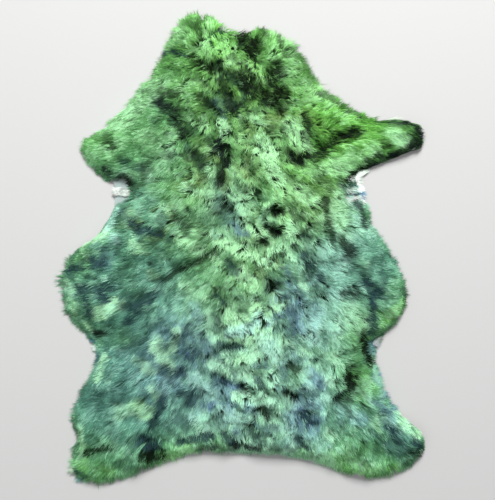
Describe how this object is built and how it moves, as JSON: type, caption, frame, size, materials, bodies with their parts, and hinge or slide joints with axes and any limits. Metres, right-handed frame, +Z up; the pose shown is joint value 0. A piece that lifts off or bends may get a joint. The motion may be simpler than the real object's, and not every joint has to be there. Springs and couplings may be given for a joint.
{
  "type": "lambskin rug",
  "caption": "Whole dyed lambskin laid out flat with the wool up, with head, legs and flanks in its outline.",
  "frame": {"origin": "middle of the outline, on the ground under the skin", "axes": "+Y along the back towards the head, +X towards the right side seen from above, +Z up out of the wool"},
  "size_m": [0.728, 0.948, 0.053],
  "materials": {
    "hide": "tanned suede, undyed pale",
    "fleece": "long wool, dyed green with navy and mint patches"
  },
  "bodies": {
    "root": {"hide": "hide", "fleece": "fleece"}
  },
  "joints": []
}
